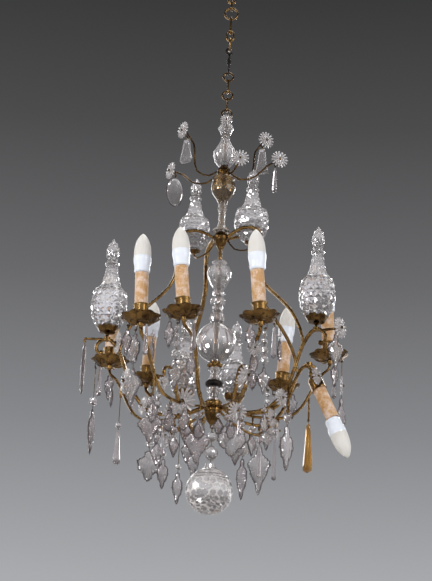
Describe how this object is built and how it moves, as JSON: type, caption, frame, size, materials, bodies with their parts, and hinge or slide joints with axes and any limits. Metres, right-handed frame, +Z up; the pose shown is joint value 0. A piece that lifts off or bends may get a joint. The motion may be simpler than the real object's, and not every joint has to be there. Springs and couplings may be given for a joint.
{
  "type": "cage chandelier",
  "caption": "Gilt brass cage chandelier on a short chain, with candle lights on scalloped pans, cut glass spires, daisies and swinging drops.",
  "frame": {"origin": "centre of the top hanging ring", "axes": "+Z up, -Y to the front as pictured, +X to the right; the chandelier hangs down -Z"},
  "size_m": [0.4928, 0.4442, 1.0786],
  "materials": {
    "gilt": "antiqued gilt brass, worn bright on edges",
    "dark_brass": "dark patinated brass",
    "iron": "blackened iron",
    "clear_glass": "clear cut lead glass",
    "violet_glass": "old glass tinged violet by sunlight",
    "amber_glass": "amber tinted glass",
    "card": "cream drip card with a crackled wax finish",
    "white_plastic": "white moulded plastic",
    "frosted": "frosted white diffuser"
  },
  "bodies": {
    "hanging_ring": {"hanging_ring": "gilt"},
    "link_1": {"link_1": "gilt"},
    "link_2": {"link_2": "gilt"},
    "link_3": {"link_3": "gilt"},
    "link_4": {"link_4": "gilt"},
    "link_5": {"link_5": "gilt"},
    "iron_hook": {"iron_hook": "iron"},
    "link_6": {"link_6": "dark_brass"},
    "link_7": {"link_7": "gilt"},
    "link_8": {"link_8": "dark_brass"},
    "link_9": {"link_9": "gilt"},
    "chandelier": {"crown_ring": "dark_brass", "centre_rod": "gilt", "crown_glass": "clear_glass", "crown_hub": "dark_brass", "crown_arms": "dark_brass", "cage_hub": "dark_brass", "column_glass": "clear_glass", "large_ball": "clear_glass", "ball_collar": "gilt", "lower_spool": "iron", "bottom_hub": "gilt", "hub_cone": "dark_brass", "inner_spire_left": "clear_glass", "inner_spire_right": "clear_glass", "spire_left": "clear_glass", "spire_right": "clear_glass", "rear_spire_left": "clear_glass", "rear_spire_right": "clear_glass", "spire_cups": "dark_brass", "cage_ribs": "gilt", "brackets": "gilt", "candle_arms": "gilt", "drip_pans": "dark_brass", "candle_cups": "gilt", "candle_sleeves": "card", "lampholders": "white_plastic", "bulb_collars": "white_plastic", "bulbs": "frosted", "rosettes": "clear_glass", "small_drops": "violet_glass", "bead_strands": "clear_glass"},
    "ball_string": {"ball_beads": "clear_glass", "bottom_ball": "clear_glass"},
    "crown_left_plate_drop": {"crown_left_plate": "clear_glass"},
    "crown_left_oval_drop": {"crown_left_oval": "clear_glass"},
    "crown_right_plate_drop": {"crown_right_plate": "clear_glass"},
    "crown_right_prism_drop": {"crown_right_prism": "violet_glass"},
    "left_leaf_drop": {"left_leaf": "violet_glass"},
    "right_spear_drop": {"right_spear": "clear_glass"},
    "left_outer_leaf_drop": {"left_outer_leaf": "violet_glass"},
    "front_left_plaque_drop": {"front_left_plaque": "clear_glass"},
    "right_leaf_drop": {"right_leaf": "violet_glass"},
    "rear_left_leaf_drop": {"rear_left_leaf": "clear_glass"},
    "front_left_kite_drop": {"front_left_kite": "violet_glass"},
    "front_shield_drop": {"front_shield": "clear_glass"},
    "rear_right_spear_drop": {"rear_right_spear": "clear_glass"},
    "amber_prism_drop": {"amber_prism": "amber_glass"},
    "centre_left_kite_drop": {"centre_left_kite": "violet_glass"},
    "front_right_leaf_drop": {"front_right_leaf": "violet_glass"}
  },
  "joints": [
    {"name": "link_1_swing", "type": "hinge", "parent": "hanging_ring", "child": "link_1", "pos_m": [0, 0, -0.0265], "axis": [1, 0, 0], "range_deg": [-20, 20]},
    {"name": "link_2_swing", "type": "hinge", "parent": "link_1", "child": "link_2", "pos_m": [0, 0, -0.042], "axis": [0, 1, 0], "range_deg": [-20, 20]},
    {"name": "link_3_swing", "type": "hinge", "parent": "link_2", "child": "link_3", "pos_m": [0, 0, -0.0631], "axis": [1, 0, 0], "range_deg": [-20, 20]},
    {"name": "link_4_swing", "type": "hinge", "parent": "link_3", "child": "link_4", "pos_m": [0, 0, -0.0946], "axis": [0, 1, 0], "range_deg": [-20, 20]},
    {"name": "link_5_swing", "type": "hinge", "parent": "link_4", "child": "link_5", "pos_m": [0, 0, -0.1117], "axis": [1, 0, 0], "range_deg": [-20, 20]},
    {"name": "iron_hook_swing", "type": "hinge", "parent": "link_5", "child": "iron_hook", "pos_m": [0, 0, -0.1328], "axis": [0, 1, 0], "range_deg": [-20, 20]},
    {"name": "link_6_swing", "type": "hinge", "parent": "iron_hook", "child": "link_6", "pos_m": [0, 0, -0.1869], "axis": [0, 1, 0], "range_deg": [-20, 20]},
    {"name": "link_7_swing", "type": "hinge", "parent": "link_6", "child": "link_7", "pos_m": [0, 0, -0.202], "axis": [1, 0, 0], "range_deg": [-20, 20]},
    {"name": "link_8_swing", "type": "hinge", "parent": "link_7", "child": "link_8", "pos_m": [0, 0, -0.2275], "axis": [0, 1, 0], "range_deg": [-20, 20]},
    {"name": "link_9_swing", "type": "hinge", "parent": "link_8", "child": "link_9", "pos_m": [0, 0, -0.2426], "axis": [1, 0, 0], "range_deg": [-20, 20]},
    {"name": "chandelier_swing", "type": "hinge", "parent": "link_9", "child": "chandelier", "pos_m": [0, 0, -0.2681], "axis": [0, 1, 0], "range_deg": [-20, 20]},
    {"name": "ball_swing", "type": "hinge", "parent": "chandelier", "child": "ball_string", "pos_m": [0, 0, -0.908], "axis": [1, 0, 0], "range_deg": [-15, 15]},
    {"name": "crown_left_plate_swing", "type": "hinge", "parent": "chandelier", "child": "crown_left_plate_drop", "pos_m": [-0.07359, -0.00773, -0.33132], "axis": [0.1045, -0.9945, 0], "range_deg": [-15, 9]},
    {"name": "crown_left_oval_swing", "type": "hinge", "parent": "chandelier", "child": "crown_left_oval_drop", "pos_m": [-0.09272, 0.03746, -0.39234], "axis": [-0.3746, -0.9272, 0], "range_deg": [-15, 15]},
    {"name": "crown_right_plate_swing", "type": "hinge", "parent": "chandelier", "child": "crown_right_plate_drop", "pos_m": [0.0718, 0.0179, -0.33132], "axis": [-0.2419, 0.9703, 0], "range_deg": [-15, 9]},
    {"name": "crown_right_prism_swing", "type": "hinge", "parent": "chandelier", "child": "crown_right_prism_drop", "pos_m": [0.09613, -0.02756, -0.39234], "axis": [0.2756, 0.9613, 0], "range_deg": [-15, 15]},
    {"name": "left_leaf_swing", "type": "hinge", "parent": "chandelier", "child": "left_leaf_drop", "pos_m": [-0.23985, 0.00838, -0.75], "axis": [-0.0349, -0.9994, 0], "range_deg": [-20, 8]},
    {"name": "right_spear_swing", "type": "hinge", "parent": "chandelier", "child": "right_spear_drop", "pos_m": [0.21014, -0.11173, -0.75], "axis": [0.4695, 0.8829, 0], "range_deg": [-20, 8]},
    {"name": "left_outer_leaf_swing", "type": "hinge", "parent": "chandelier", "child": "left_outer_leaf_drop", "pos_m": [-0.22177, 0.08072, -0.775], "axis": [-0.342, -0.9397, 0], "range_deg": [-15, 15]},
    {"name": "front_left_plaque_swing", "type": "hinge", "parent": "chandelier", "child": "front_left_plaque_drop", "pos_m": [-0.1423, -0.1259, -0.774], "axis": [0.6626, -0.749, 0], "range_deg": [-15, 15]},
    {"name": "right_leaf_swing", "type": "hinge", "parent": "chandelier", "child": "right_leaf_drop", "pos_m": [0.22944, -0.01604, -0.775], "axis": [0.0698, 0.9976, 0], "range_deg": [-15, 8]},
    {"name": "rear_left_leaf_swing", "type": "hinge", "parent": "chandelier", "child": "rear_left_leaf_drop", "pos_m": [-0.11528, 0.14597, -0.884], "axis": [-0.7848, -0.6198, 0], "range_deg": [-15, 15]},
    {"name": "front_left_kite_swing", "type": "hinge", "parent": "chandelier", "child": "front_left_kite_drop", "pos_m": [-0.10686, -0.12963, -0.891], "axis": [0.7716, -0.6361, 0], "range_deg": [-15, 15]},
    {"name": "front_shield_swing", "type": "hinge", "parent": "chandelier", "child": "front_shield_drop", "pos_m": [0.0344, -0.08962, -0.902], "axis": [0.9336, 0.3584, 0], "range_deg": [-15, 15]},
    {"name": "rear_right_spear_swing", "type": "hinge", "parent": "chandelier", "child": "rear_right_spear_drop", "pos_m": [0.08989, 0.11505, -0.893], "axis": [-0.788, 0.6157, 0], "range_deg": [-15, 15]},
    {"name": "amber_prism_swing", "type": "hinge", "parent": "chandelier", "child": "amber_prism_drop", "pos_m": [0.17158, -0.012, -0.888], "axis": [0.0698, 0.9976, 0], "range_deg": [-15, 15]},
    {"name": "centre_left_kite_swing", "type": "hinge", "parent": "chandelier", "child": "centre_left_kite_drop", "pos_m": [-0.02536, -0.08844, -0.902], "axis": [0.9613, -0.2756, 0], "range_deg": [-15, 15]},
    {"name": "front_right_leaf_swing", "type": "hinge", "parent": "chandelier", "child": "front_right_leaf_drop", "pos_m": [0.13068, -0.06948, -0.892], "axis": [0.4695, 0.8829, 0], "range_deg": [-15, 15]}
  ]
}
